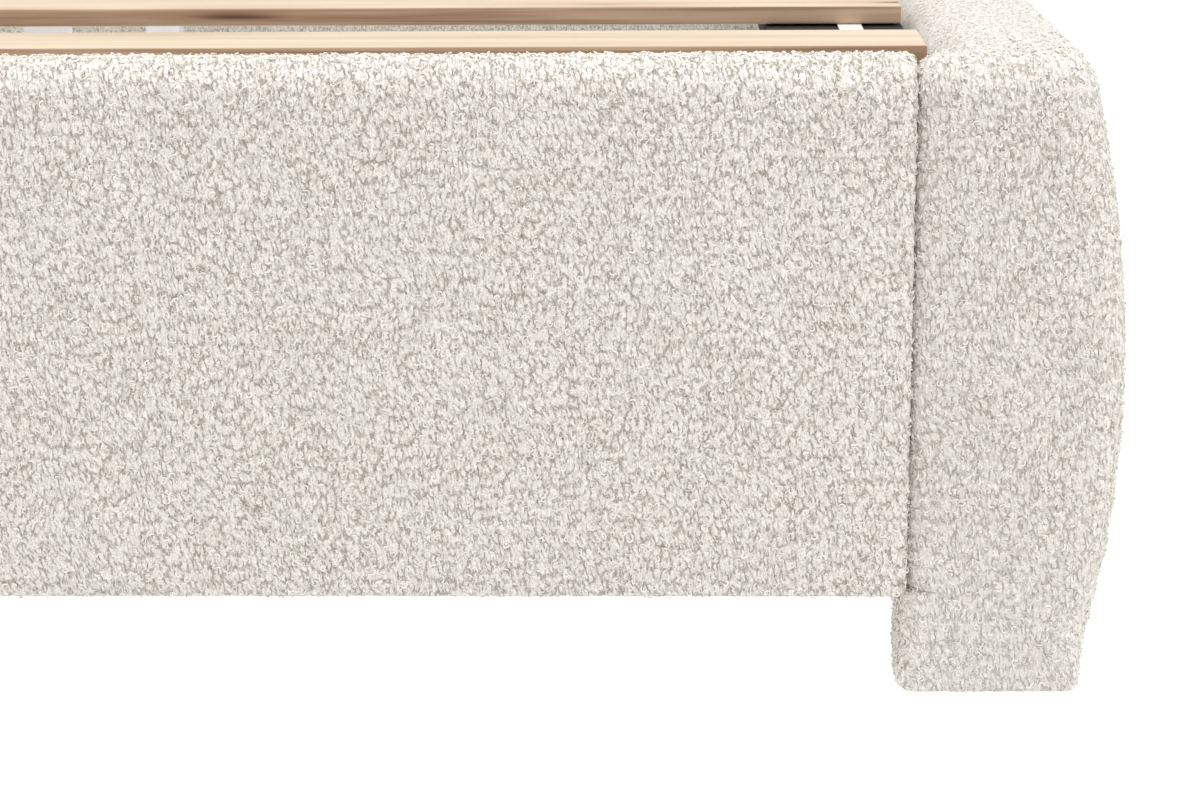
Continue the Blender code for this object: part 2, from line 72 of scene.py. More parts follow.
# ---------------------------------------------------------------- sizes of the covers
BULGE = 0.132  # the barrel's widest point, out from the seam
BULGE_Z = 0.195
BARREL = 0.760  # radius of the barrelled outer side
FLAT_END = 0.090  # where the flat top ends, out from the seam
SHOULDER = 0.017
SHOULDER_DROP = 0.015  # from the top down to where the shoulder meets the barrel
LEG_FLOOR = 0.0015
LEG_INSIDE = -0.007  # the leg stands in under the foot rail
LEG_TAPER = 0.1  # the leg's inner face runs outwards by this much per metre of depth
LEG_CUT = 0.012
LEG_TUCK = 0.004
LEG_CORNER = 0.006
LEG_DEPTH = 0.100
LEG_BLEND = 0.010
CAP_DEPTH = 0.024  # how deep the rail's front end is before it takes the rail's own outline
CAP_BLEND = 0.028
CAP_EDGE = 0.016
RAIL_EDGE = 0.045
RAIL_TURN = 0.012
RAIL_GAP = 0.0006  # between a side rail's cover and the headboard
CORNER_ROUND = 0.026
BOTTOM_ROUND = 0.003
SQUASH = 0.20  # share of a round that flattens against its neighbour at the corner seam
CREST_DIP = 0.0004  # how far the cover pulls the foam down along the front crest
FOOT_FRONT_ROUND = 0.020
FOOT_BACK_ROUND = 0.044
FOOT_END_ROUND = 0.009
HEAD_CORNER = 0.130
HEAD_ROUND = 0.030
HEAD_BACK_ROUND = 0.010
HEAD_LOW_CORNER = 0.012
HEAD_LEG_WIDE = 0.124
LEG_ROUND = 0.010
LEG_BACK_ROUND = 0.003
SHEET_CORNER = 0.080
SHEET_LOW_CORNER = 0.004
STAPLE_INSET = 0.009  # from the dust cover's edge to the row of staples
STAPLE_CORNER = 0.072
RECESS = 0.003  # the dust cover lies this far inside the headboard's back
PRESSURE = 3.0  # of the filling, in the cloth simulation
CLOTH_FRAMES = 16
SLACK = 0.0004  # the most that the swelling may draw a cover inwards
RAIL_SWELL, FOOT_SWELL, HEAD_SWELL = 0.003, 0.0025, 0.008  # the most that each cover may swell
NUB = 0.0032  # width of a boucle loop
RELIEF = 0.0013
CURLS = 42000.0  # loops of yarn on a square metre
CURL_RADIUS = 0.0014
YARN = 0.00045
FINE_FROM = 0.10  # the foot rail's right part, from here on, is the finely meshed one

# ---------------------------------------------------------------- view and lights
SENSOR, LENS = 36.0, 84.15  # millimetres
CAMERA_PLACE = (SEAM - 0.1538, FRONT - 1.6502, 0.6424)
CAMERA_TURN, CAMERA_TILT, CAMERA_ROLL = 0.0212, 0.2669, -0.0066
SKY = 1.18
LIGHTS = (  # name, place, width of the disk and power
    ("overhead", (0.4, -1.0, 3.2), 2.4, 58.0),
    ("side", (3.4, -1.8, 1.6), 1.6, 17.0),
)
LIT = (SEAM, FRONT, 0.25)  # where the lights aim
FLOOR_REACH = 30.0


# ---------------------------------------------------------------- node trees as expressions


class Signal:
    """A socket's value; arithmetic on it adds Math nodes."""

    def __init__(self, graph, socket):
        self.graph = graph
        self.socket = socket

    def _math(self, operation, one, two=0.0):
        return self.graph.put("ShaderNodeMath", 0, {"operation": operation}, {0: one, 1: two})

    def __add__(self, other):
        return self._math("ADD", self, other)

    def __radd__(self, other):
        return self._math("ADD", other, self)

    def __sub__(self, other):
        return self._math("SUBTRACT", self, other)

    def __rsub__(self, other):
        return self._math("SUBTRACT", other, self)

    def __mul__(self, other):
        return self._math("MULTIPLY", self, other)

    def __rmul__(self, other):
        return self._math("MULTIPLY", other, self)

    def __gt__(self, other):
        return self._math("GREATER_THAN", self, other)

    def __abs__(self):
        return self._math("ABSOLUTE", self)

    def smooth(self, low, high):
        """0 below low, 1 above high, eased in between."""
        limits = {"Value": self, "From Min": low, "From Max": high}
        return self.graph.put("ShaderNodeMapRange", 0, {"interpolation_type": "SMOOTHSTEP"}, limits)


class Graph:
    """A node tree, to which put() adds any node."""

    def __init__(self, tree):
        self.tree = tree

    def put(self, kind, output=0, settings=None, inputs=None):
        node = self.tree.nodes.new(kind)
        for name, value in (settings or {}).items():
            setattr(node, name, value)
        for name, value in (inputs or {}).items():
            if isinstance(value, Signal):
                self.tree.links.new(value.socket, node.inputs[name])
            else:
                node.inputs[name].default_value = value
        return Signal(self, node.outputs[output])

    def vector(self, operation, *values):
        return self.put("ShaderNodeVectorMath", 0, {"operation": operation}, dict(enumerate(values)))

    def split(self, vector):
        first = self.put("ShaderNodeSeparateXYZ", 0, None, {0: vector})
        return [Signal(self, socket) for socket in first.socket.node.outputs]

    def merge(self, x, y, z):
        return self.put("ShaderNodeCombineXYZ", 0, None, {0: x, 1: y, 2: z})

    def noise(self, place, scale, detail=2.0, roughness=0.5, output=0, dimensions="3D"):
        sockets = {"Vector": place, "Scale": scale, "Detail": detail, "Roughness": roughness}
        return self.put("ShaderNodeTexNoise", output, {"noise_dimensions": dimensions}, sockets)

    def cells(self, place, scale, feature="F1", dimensions="3D"):
        settings = {"feature": feature, "voronoi_dimensions": dimensions}
        return self.put("ShaderNodeTexVoronoi", "Distance", settings, {"Vector": place, "Scale": scale})

    def mix(self, factor, one, two, blend="MIX"):
        """Colours mixed by a factor."""
        one, two = [(*c, 1.0) if isinstance(c, tuple) and len(c) == 3 else c for c in (one, two)]
        settings = {"data_type": "RGBA", "blend_type": blend}
        return self.put("ShaderNodeMix", 2, settings, {0: factor, 6: one, 7: two})


class Finish(Graph):
    """A material with one Principled shader; numbers are set on it, signals are linked to it."""

    def __init__(self, name, **values):
        self.material = bpy.data.materials.new(name)
        self.material.use_nodes = True
        super().__init__(self.material.node_tree)
        self.shader = self.tree.nodes["Principled BSDF"]
        self.set(**values)

    def set(self, **values):
        for name, value in values.items():
            socket = self.shader.inputs[name.replace("_", " ").title().replace("Ior", "IOR")]
            if isinstance(value, Signal):
                self.tree.links.new(value.socket, socket)
            else:
                socket.default_value = (*value, 1.0) if isinstance(value, tuple) else value

    def object_place(self):
        return self.put("ShaderNodeTexCoord", "Object")

    def attribute(self, name, output="Vector"):
        return self.put("ShaderNodeAttribute", output, {"attribute_name": name})

    def bump(self, height, distance, strength=1.0):
        sockets = {"Height": height, "Distance": distance, "Strength": strength}
        self.set(normal=self.put("ShaderNodeBump", 0, None, sockets))


# ---------------------------------------------------------------- boucle


def cloth_place(graph, place, facing):
    """Where a point lies on the cover, in metres across and up, flattened on the plane that it faces."""
    x, y, z = graph.split(place)
    over, deep, up = [abs(part) for part in graph.split(facing)]
    side_on = (over > deep) * (over > up)
    top_on = (up > deep) * (up > over)
    return graph.merge(x + (y - x) * side_on, z + (y - z) * top_on, 0.0)


def boucle_nubs(graph, place):
    """Height of the loops at a flattened place: 0 in the crevices, about 1 on their crowns."""
    drift = graph.noise(place, 15.0, 1.0, output="Color", dimensions="2D")
    drift = graph.vector("MULTIPLY_ADD", drift, (0.016, 0.006, 0.0), place)
    frizz = graph.noise(place, 420.0, 2.0, 0.6, output="Color", dimensions="2D")
    frizz = graph.vector("MULTIPLY_ADD", frizz, (0.0030, 0.0042, 0.0), drift)
    u, v, _ = graph.split(frizz)
    leaning = graph.merge(u + v * 0.20, v * 0.40, 0.0)
    gaps = graph.cells(leaning, 1 / NUB, "DISTANCE_TO_EDGE", "2D")
    bulk = graph.cells(leaning, 1 / NUB, "F1", "2D")
    curls = abs(graph.noise(leaning, 1.9 / NUB, 1.0, dimensions="2D") - 0.5)
    depth = graph.noise(place, 170.0, 1.0, dimensions="2D").smooth(0.32, 0.62)
    crevice = (1.0 - gaps.smooth(0.0, 0.26)) * (depth * 0.8 + 0.2)
    return 1.0 - crevice * 0.46 - bulk * 0.2 - (1.0 - curls.smooth(0.0, 0.10)) * 0.16


def boucle():
    finish = Finish("boucle", roughness=0.95, sheen_weight=0.1, sheen_roughness=0.55, specular_ior_level=0.1)
    place = cloth_place(finish, finish.attribute("rest"), finish.attribute("facing"))
    nubs = boucle_nubs(finish, place)
    stretched = finish.vector("MULTIPLY", place, (1.0, 0.6, 1.0))
    fibres = finish.noise(stretched, 820.0, 2.0, 0.8, dimensions="2D")
    patches = finish.noise(place, 16.0, 3.0, 0.6, dimensions="2D")
    loops = finish.attribute("curl", "Fac")
    shade = nubs * 0.95 + (fibres - 0.5) * 1.3 + (patches - 0.5) * 0.15 + loops * 0.15
    painted_flatness = finish.attribute("painted_flat_light", "Fac")
    # painted light: the loops' contrast is flattened on the side rails and legs, and the foot of the legs is
    # painted lighter
    shade = (shade - 0.6) * (1.22 - painted_flatness * 0.6) + 0.6 + painted_flatness.smooth(0.55, 1.0) * 0.07
    # the yarn darkens into the crevices between the loops: partly its own deeper tone, partly painted shade
    yarn = finish.mix(shade.smooth(0.0, 1.05), (0.38, 0.335, 0.265), (0.83, 0.80, 0.745))
    finish.set(base_color=yarn)
    finish.bump(nubs + (fibres - 0.5) * 0.5, 0.002, 1.0)
    return finish.material


def pine():
    """Planed pine: long grain and a few knots, with paler broad faces and browner, streaky edges, whose
    darkness is partly their own sawn tone and partly painted shade.
    """
    finish = Finish("pine", roughness=0.55, specular_ior_level=0.3)
    x, y, z = finish.split(finish.object_place())
    board = finish.attribute("board", "Fac")
    x, z = x + board * 3.7, z + board * 0.61
    rings = finish.noise(finish.merge(x * 1.3, y * 38.0, z * 38.0), 1.6, 3.0, 0.55)
    fine = finish.noise(finish.merge(x * 7.0, y * 300.0, z * 300.0), 1.0, 3.0, 0.65)
    knots = finish.cells(finish.merge(x * 4.2, y * 21.0, z * 44.0 + rings * 1.2), 1.0)
    knot = 1.0 - knots.smooth(0.07, 0.20)
    halo = 1.0 - knots.smooth(0.10, 0.55)
    normal = finish.split(finish.put("ShaderNodeTexCoord", "Normal"))
    broad = abs(normal[2]).smooth(0.4, 0.8)
    grain = (rings * 1.1 + fine * 0.35).smooth(0.42, 1.05)
    resin = finish.noise(finish.merge(x * 2.2, y * 90.0, z * 210.0), 1.0, 2.0, 0.6).smooth(0.54, 0.70)
    planed = finish.mix(grain, (0.56, 0.475, 0.365), (0.46, 0.36, 0.25))
    # faces that look sideways get the darker edge colour: partly a browner sawn tone, partly painted shade
    sawn_and_shaded = finish.mix((grain + fine * 0.5).smooth(0.2, 1.1), (0.50, 0.355, 0.245), (0.31, 0.19, 0.115))
    sawn_and_shaded = finish.mix(resin * 0.75, sawn_and_shaded, (0.17, 0.085, 0.045))
    wood = finish.mix(broad, sawn_and_shaded, planed)
    wood = finish.mix(halo * 0.35, wood, (0.30, 0.17, 0.09))
    finish.set(base_color=finish.mix(knot * 0.85, wood, (0.075, 0.030, 0.018)))
    finish.bump(fine * 0.6 + rings * 0.4, 0.0004, 0.5)
    return finish.material


def plywood():
    finish = Finish("plywood", roughness=0.65, specular_ior_level=0.3)
    x, y, z = finish.split(finish.object_place())
    plies = finish.put("ShaderNodeTexWave", "Fac", {"bands_direction": "DIAGONAL"}, {"Scale": 60.0})
    grain = finish.noise(finish.merge(x * 30.0, y * 2.0, z * 30.0), 2.0, 3.0)
    wood = finish.mix(grain, (0.58, 0.42, 0.26), (0.44, 0.29, 0.17))
    finish.set(base_color=finish.mix(plies * 0.25, wood, (0.30, 0.19, 0.11)))
    finish.bump(grain, 0.0003, 0.4)
    return finish.material


def nonwoven(name, colour, pale):
    """Spun-bonded lining: a matt sheet with a grid of small pressed dots and loose fibres."""
    finish = Finish(name, roughness=0.9, specular_ior_level=0.25)
    place = finish.object_place()
    dots = finish.cells(place, 420.0, "F1")
    fibres = finish.noise(place, 700.0, 4.0, 0.7)
    pressed = dots.smooth(0.15, 0.45)
    finish.set(base_color=finish.mix((pressed * 0.5 + fibres * 0.6).smooth(0.3, 0.9), colour, pale))
    finish.bump(pressed + fibres * 0.6, 0.0003, 0.6)
    return finish.material


def webbing():
    """Light tape woven in small bricks along its length."""
    finish = Finish("webbing", roughness=0.85, sheen_weight=0.15)
    x, y, z = finish.split(finish.object_place())
    across = finish.put("ShaderNodeMath", 0, {"operation": "PINGPONG"}, {0: x, 1: 0.0008})
    along = finish.put("ShaderNodeMath", 0, {"operation": "PINGPONG"}, {0: y, 1: 0.0011})
    weave = (across * 1250.0) * (along * 900.0)
    dirt = finish.noise(finish.merge(x, y, z), 60.0, 3.0)
    yarn = finish.mix(weave.smooth(0.0, 0.6), (0.56, 0.54, 0.50), (0.80, 0.785, 0.75))
    finish.set(base_color=finish.mix(dirt * 0.3, yarn, (0.62, 0.59, 0.54)))
    finish.bump(weave, 0.0004, 0.8)
    return finish.material


def powder_coat():
    finish = Finish("powder_coat", roughness=0.45, metallic=0.0, specular_ior_level=0.5)
    place = finish.object_place()
    peel = finish.noise(place, 900.0, 2.0)
    rubbed = finish.noise(place, 45.0, 4.0, 0.7)
    finish.set(base_color=finish.mix(rubbed.smooth(0.55, 0.8), (0.018, 0.018, 0.02), (0.055, 0.055, 0.058)))
    finish.set(roughness=rubbed * 0.25 + 0.32)
    finish.bump(peel, 0.0002, 0.35)
    return finish.material


def zinc_plate():
    finish = Finish("zinc_plate", metallic=1.0)
    place = finish.object_place()
    spangle = finish.cells(place, 600.0, "F1")
    stain = finish.noise(place, 120.0, 4.0, 0.7)
    finish.set(base_color=finish.mix(stain, (0.56, 0.57, 0.60), (0.74, 0.74, 0.72)))
    finish.set(roughness=stain * 0.25 + spangle * 0.1 + 0.2)
    return finish.material


def lacquer():
    """White sprayed lacquer with a faint orange peel and a few rubbed, greyer patches."""
    finish = Finish("lacquer", specular_ior_level=0.5)
    place = finish.object_place()
    rubbed = finish.noise(place, 38.0, 4.0, 0.65)
    finish.set(base_color=finish.mix(rubbed.smooth(0.5, 0.8), (0.80, 0.80, 0.83), (0.70, 0.70, 0.73)))
    finish.set(roughness=rubbed * 0.2 + 0.3)
    finish.bump(finish.noise(place, 700.0, 2.0), 0.0002, 0.3)
    return finish.material


def moulded_plastic():
    finish = Finish("moulded_plastic", specular_ior_level=0.5)
    place = finish.object_place()
    grain = finish.noise(place, 1400.0, 2.0)
    finish.set(base_color=finish.mix(grain, (0.028, 0.028, 0.03), (0.05, 0.05, 0.052)))
    finish.set(roughness=grain * 0.2 + 0.42)
    finish.bump(grain, 0.0002, 0.4)
    return finish.material


def pale_floor():
    finish = Finish("pale_floor", base_color=(0.30, 0.30, 0.30), roughness=0.9, specular_ior_level=0.0)
    finish.set(emission_color=(1.0, 1.0, 1.0), emission_strength=0.94)
    return finish.material


# ---------------------------------------------------------------- outlines and rings


def bow(cx, cz, radius, start, end, steps=14):
    """Points on an arc, in degrees."""
    turns = np.radians(np.linspace(start, end, steps))
    return np.column_stack([cx + radius * np.cos(turns), cz + radius * np.sin(turns)])


def resample(line, count):
    """A line's shape as count + 1 evenly spaced points."""
    along = np.concatenate([[0.0], np.cumsum(np.linalg.norm(np.diff(line, axis=0), axis=1))])
    places = np.linspace(0.0, along[-1], count + 1)
    return np.column_stack([np.interp(places, along, line[:, i]) for i in range(line.shape[1])])


def ring_of(sides, counts):
    """Four lines round an outline as one closed ring of evenly spaced points."""
    return np.concatenate([resample(line, count)[:-1] for line, count in zip(sides, counts)])


def rounded_sides(corners):
    """Four lines between the middles of four rounded corners, given clockwise from the lower left."""
    sides = []
    for number, (one, two) in enumerate(zip(corners, corners[1:] + corners[:1])):
        turn = 180 - 90 * number
        before, after = bow(*one[:3], turn + 45, turn, one[3]), bow(*two[:3], turn, turn - 45, two[3])
        sides.append(np.concatenate([before, after]))
    return sides


def spread(*stretches):
    """Places along a line; each stretch is (its end, its spacing), and the first gives the start."""
    places = [stretches[0][0]]
    for end, spacing in stretches[1:]:
        count = max(1, round(abs(end - places[-1]) / spacing))
        places.extend(np.linspace(places[-1], end, count + 1)[1:])
    return np.array(places)


def ease(value, low, high):
    t = np.clip((value - low) / (high - low), 0.0, 1.0)
    return t * t * (3.0 - 2.0 * t)


def round_over(radius, steps):
    """(depth, inset) along a quarter round, from the face to the side."""
    turns = np.linspace(0.0, math.pi / 2, steps)
    return [(radius * (1 - math.cos(t)), radius * (1 - math.sin(t))) for t in turns]


def towards(outline, spine):
    """Unit directions from the points of an outline to those of a spine inside it."""
    inward = spine - outline
    return inward / np.linalg.norm(inward, axis=1, keepdims=True)


def pressed(inset, squash):
    """The inset of a rounded edge that leans on its neighbour, flattened where they meet."""
    return np.maximum(inset - squash, 0.0)


def tube_faces(rows, columns):
    """Quads between rings of points, each ring closed."""
    row, column = np.meshgrid(np.arange(rows - 1), np.arange(columns), indexing="ij")
    one = row * columns + column
    two = row * columns + (column + 1) % columns
    return np.stack([one, two, two + columns, one + columns], axis=-1).reshape(-1, 4)


def cap_grid(ring, counts, first, ring_start):
    """A grid of points and quads that fills a four-sided ring; new points are numbered from first."""
    tall, wide = counts[0], counts[1]
    total = 2 * (tall + wide)
    index = np.full((tall + 1, wide + 1), -1)
    index[:, 0] = np.arange(tall + 1)
    index[tall, :] = tall + np.arange(wide + 1)
    index[:, wide] = tall + wide + np.arange(tall, -1, -1)
    index[0, :] = (2 * tall + wide + np.arange(wide, -1, -1)) % total
    v = np.linspace(0, 1, tall + 1)[:, None, None]
    u = np.linspace(0, 1, wide + 1)[None, :, None]
    left, right = ring[index[:, 0]][:, None], ring[index[:, wide]][:, None]
    low, high = ring[index[0, :]][None], ring[index[tall, :]][None]
    corners = (1 - u) * (1 - v) * ring[index[0, 0]] + u * (1 - v) * ring[index[0, wide]]
    corners = corners + (1 - u) * v * ring[index[tall, 0]] + u * v * ring[index[tall, wide]]
    points = (1 - u) * left + u * right + (1 - v) * low + v * high - corners
    inside = index < 0
    numbers = np.where(inside, 0, index + ring_start)
    numbers[inside] = first + np.arange(inside.sum())
    quads = np.stack([numbers[:-1, :-1], numbers[:-1, 1:], numbers[1:, 1:], numbers[1:, :-1]], axis=-1)
    return points[inside], quads.reshape(-1, 4)


def closed_shell(rings, counts, grid_start=True, grid_end=False):
    """Points and faces of a closed body through rings, with a grid or one flat face over each end."""
    rows, columns = len(rings), len(rings[0])
    points = [np.concatenate(rings)]
    faces = tube_faces(rows, columns).tolist()
    made = rows * columns
    for wanted, ring, start in ((grid_start, rings[0], 0), (grid_end, rings[-1], (rows - 1) * columns)):
        if wanted:
            extra, quads = cap_grid(ring, counts, made, start)
            points.append(extra)
            made += len(extra)
            quads = quads[:, ::-1] if start else quads
            faces += quads.tolist()
        else:
            lid = list(range(start, start + columns))
            faces.append(lid[::-1] if start == 0 else lid)
    return np.concatenate(points), faces


def mesh_piece(name, points, faces, material, smooth=True):
    """An object at the origin, its faces turned outwards by the sign of its volume."""
    mesh = bpy.data.meshes.new(name)
    mesh.from_pydata(points.tolist(), [], faces)
    bm = bmesh.new()
    bm.from_mesh(mesh)
    bmesh.ops.recalc_face_normals(bm, faces=bm.faces)
    if bm.calc_volume(signed=True) < 0:
        bmesh.ops.reverse_faces(bm, faces=bm.faces)
    bm.to_mesh(mesh)
    bm.free()
    if smooth:
        mesh.shade_smooth()
    mesh.materials.append(material)
    piece = bpy.data.objects.new(name, mesh)
    bpy.context.scene.collection.objects.link(piece)
    return piece


def coordinates(mesh):
    values = np.empty(len(mesh.vertices) * 3, np.float32)
    mesh.vertices.foreach_get("co", values)
    return values.reshape(-1, 3).astype(float)


# ---------------------------------------------------------------- upholstery


def stuff(coarse, held, most):
    """Swell a coarse closed pad by cloth simulation; returns how far each of its points moved."""
    start = coordinates(coarse.data)
    group = coarse.vertex_groups.new(name="held")
    group.add(np.nonzero(held(start))[0].tolist(), 1.0, "REPLACE")
    cloth = coarse.modifiers.new("cloth", "CLOTH")
    settings = cloth.settings
    settings.quality = 4
    settings.mass = 0.4
    settings.tension_stiffness = settings.compression_stiffness = 25.0
    settings.shear_stiffness = 12.0
    settings.bending_stiffness = 1.5
    settings.use_pressure = True
    settings.uniform_pressure_force = PRESSURE
    settings.vertex_group_mass = "held"
    settings.effector_weights.gravity = 0.0
    scene = bpy.context.scene
    for number in range(1, CLOTH_FRAMES + 1):
        scene.frame_set(number)
    evaluated = coarse.evaluated_get(bpy.context.evaluated_depsgraph_get())
    moved = coordinates(evaluated.data) - start
    scene.frame_set(1)
    coarse.modifiers.remove(cloth)
    normals = np.array([vertex.normal for vertex in coarse.data.vertices])
    outward = (moved * normals).sum(1, keepdims=True)
    moved += normals * (np.clip(outward, -SLACK, most) - outward)
    far = np.linalg.norm(moved, axis=1, keepdims=True)
    return moved * np.minimum(1.0, most / np.maximum(far, 1e-9))


def carry(points, coarse, moved):
    """Move fine points as the coarse pad's nearest faces moved."""
    mesh = coarse.data
    mesh.calc_loop_triangles()
    start = coordinates(mesh)
    triangles = [tuple(t.vertices) for t in mesh.loop_triangles]
    tree = BVHTree.FromPolygons(start.tolist(), triangles)
    corners = np.empty((len(points), 3), int)
    places = np.empty((len(points), 3))
    for number, point in enumerate(points.tolist()):
        place, _, face, _ = tree.find_nearest(point)
        corners[number] = triangles[face]
        places[number] = place
    a, b, c = (start[corners[:, i]] for i in range(3))
    ab, ac, ap = b - a, c - a, places - a
    d00, d01, d11 = (ab * ab).sum(1), (ab * ac).sum(1), (ac * ac).sum(1)
    d20, d21 = (ap * ab).sum(1), (ap * ac).sum(1)
    area = np.maximum(d00 * d11 - d01 * d01, 1e-18)
    v = (d11 * d20 - d01 * d21) / area
    w = (d00 * d21 - d01 * d20) / area
    shares = np.stack([1 - v - w, v, w], axis=1)
    return points + (moved[corners] * shares[:, :, None]).sum(1)


def swollen(coarse_shell, points, held, most, cloth):
    coarse = mesh_piece("coarse", *coarse_shell, cloth)
    points = carry(points, coarse, stuff(coarse, held, most))
    bpy.data.objects.remove(coarse, do_unlink=True)
    return points


def new_tree(name, **inputs):
    """A geometry tree with these named inputs, and the inputs as signals."""
    tree = bpy.data.node_groups.new(name, "GeometryNodeTree")
    for label, kind in inputs.items():
        tree.interface.new_socket(label, in_out="INPUT", socket_type=f"NodeSocket{kind}")
    tree.interface.new_socket("Geometry", in_out="OUTPUT", socket_type="NodeSocketGeometry")
    graph = Graph(tree)
    group = graph.put("NodeGroupInput").socket.node
    return graph, [Signal(graph, socket) for socket in group.outputs[: len(inputs)]]


def ended(graph, shape):
    """The tree, with this shape as its result."""
    out = graph.tree.nodes.new("NodeGroupOutput")
    graph.tree.links.new(shape.socket, out.inputs[0])
    return graph.tree


def store(graph, shape, name, value, kind="FLOAT"):
    """The shape with a value kept at each of its points under this name."""
    settings = {"data_type": kind, "domain": "POINT"}
    return graph.put(
        "GeometryNodeStoreNamedAttribute", 0, settings, {"Geometry": shape, "Name": name, "Value": value}
    )


def drawn(graph, path, radius, sides):
    """Yarn or wire of this radius along a path."""
    sizes = {"Resolution": sides, "Radius": radius}
    ring = graph.put("GeometryNodeCurvePrimitiveCircle", 0, {"mode": "RADIUS"}, sizes)
    return graph.put("GeometryNodeCurveToMesh", 0, None, {0: path, "Profile Curve": ring, "Fill Caps": True})


def leaning(graph, rotation, least, most, seed):
    """A rotation with a random turn between two limits added."""
    lean = graph.put("FunctionNodeRandomValue", 0, {"data_type": "FLOAT_VECTOR"}, {"Seed": seed})
    lean.socket.node.inputs["Min"].default_value = least
    lean.socket.node.inputs["Max"].default_value = most
    lean = graph.put("FunctionNodeEulerToRotation", 0, None, {0: lean})
    both = {"Rotation": rotation, "Rotate By": lean}
    return graph.put("FunctionNodeRotateRotation", 0, {"rotation_space": "LOCAL"}, both)


def finished(graph, instances, material, smooth=True):
    """Instances made real, shaded smooth where wanted, and given their material."""
    shape = graph.put("GeometryNodeRealizeInstances", 0, None, {0: instances})
    if smooth:
        shape = graph.put("GeometryNodeSetShadeSmooth", 0, None, {0: shape, "Shade Smooth": True})
    return graph.put("GeometryNodeSetMaterial", 0, None, {0: shape, "Material": material})


def relief_tree():
    """Raises the boucle's loops along the normals, by the piece's own relief attribute."""
    graph, (shape, height) = new_tree("boucle_relief", Geometry="Geometry", Height="Float")
    place = graph.put("GeometryNodeInputPosition")
    share = graph.put("GeometryNodeInputNamedAttribute", 0, {"data_type": "FLOAT"}, {"Name": "relief"})
    normal = graph.put("GeometryNodeInputNormal")
    flat = cloth_place(graph, place, normal)
    nubs = boucle_nubs(graph, flat)
    soft = graph.noise(place, 22.0, 2.0)
    rise = (nubs - 0.25 + (soft - 0.5) * 0.7) * height * share
    offset = graph.put("ShaderNodeVectorMath", 0, {"operation": "SCALE"}, {0: normal, "Scale": rise})
    shape = store(graph, shape, "rest", place, "FLOAT_VECTOR")
    shape = store(graph, shape, "facing", normal, "FLOAT_VECTOR")
    return ended(graph, graph.put("GeometryNodeSetPosition", 0, None, {"Geometry": shape, "Offset": offset}))


def curl_tree(material):
    """Scatters small curled loops of yarn over a cover, by its own curls attribute, and joins them to it."""
    inputs = {"Geometry": "Geometry", "Density": "Float", "Radius": "Float", "Yarn": "Float"}
    graph, (shape, density, radius, yarn) = new_tree("boucle_curls", **inputs)
    share = graph.put("GeometryNodeInputNamedAttribute", 0, {"data_type": "FLOAT"}, {"Name": "curls"})
    scatter = {"Mesh": shape, "Density": density * share, "Seed": SEED}
    points = graph.put("GeometryNodeDistributePointsOnFaces", "Points", None, scatter)
    turned = Signal(graph, points.socket.node.outputs["Rotation"])
    points = store(graph, points, "curl", 1.0)
    bend = {"Resolution": 7, "Radius": radius, "Start Angle": 0.0, "Sweep Angle": math.radians(250)}
    arc = graph.put("GeometryNodeCurveArc", 0, {"mode": "RADIUS"}, bend)
    loop = drawn(graph, arc, yarn, 4)
    turned = leaning(graph, turned, (-0.9, -0.9, -math.pi), (0.9, 0.9, math.pi), SEED)
    limits = {2: 0.6, 3: 1.25, "Seed": SEED + 1}
    size = graph.put("FunctionNodeRandomValue", 1, {"data_type": "FLOAT"}, limits)
    placed = {"Points": points, "Instance": loop, "Rotation": turned, "Scale": size}
    loops = finished(graph, graph.put("GeometryNodeInstanceOnPoints", 0, None, placed), material)
    joined = graph.put("GeometryNodeJoinGeometry", 0, None, {0: loops})
    graph.tree.links.new(shape.socket, joined.socket.node.inputs[0])
    return ended(graph, joined)


def plain(piece):
    """Turn what a piece's modifiers make into its own plain mesh."""
    evaluated = piece.evaluated_get(bpy.context.evaluated_depsgraph_get())
    mesh = bpy.data.meshes.new_from_object(evaluated)
    piece.modifiers.clear()
    old = piece.data
    piece.data = mesh
    bpy.data.meshes.remove(old)
    mesh.name = piece.name
    return piece


def run_tree(piece, tree, values):
    """Apply a node tree to a piece, with its inputs set by name."""
    step = piece.modifiers.new("maker", "NODES")
    step.node_group = tree
    sockets = {item.name: item.identifier for item in tree.interface.items_tree if item.in_out == "INPUT"}
    for socket, value in values.items():
        step[sockets[socket]] = value
    return plain(piece)


def set_share(mesh, name, values):
    mesh.attributes.new(name, "FLOAT", "POINT").data.foreach_set("value", values.astype(np.float32))


def grow_nubs(piece, trees, curls=None):
    """Give a cover its relief and, where curls says how densely, its loops of yarn."""
    relief, scatter = trees
    set_share(piece.data, "relief", near_share(coordinates(piece.data)))
    # painted light: flatter, lighter loops on the side rails and at the foot of the legs
    set_share(piece.data, "painted_flat_light", painted_flat_light(coordinates(piece.data)))
    if curls:
        set_share(piece.data, "curls", curls(coordinates(piece.data)))
    run_tree(piece, relief, {"Height": RELIEF})
    if curls:
        run_tree(piece, scatter, {"Density": CURLS, "Radius": CURL_RADIUS, "Yarn": YARN})
    piece.data.shade_smooth()
    return piece


def upholster(name, shell, pad, cloth, trees, curls=None):
    """A finished cover over a closed shell, in the place of a plain pad."""
    cover = mesh_piece(name, *shell, cloth)
    grow_nubs(cover, trees, curls)
    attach(cover, BODY)
    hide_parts(pad)


def foot_curls(points):
    """Loops on the face and the top of the foot rail near the right corner."""
    near = ease(points[:, 0], FINE_FROM, FINE_FROM + 0.03)
    outer = 1.0 - ease(points[:, 1], FRONT + 0.045, FRONT + 0.050)
    return near * outer * ((points[:, 2] > RAIL_BOTTOM + 0.0005) | (points[:, 1] < FRONT + 0.006))


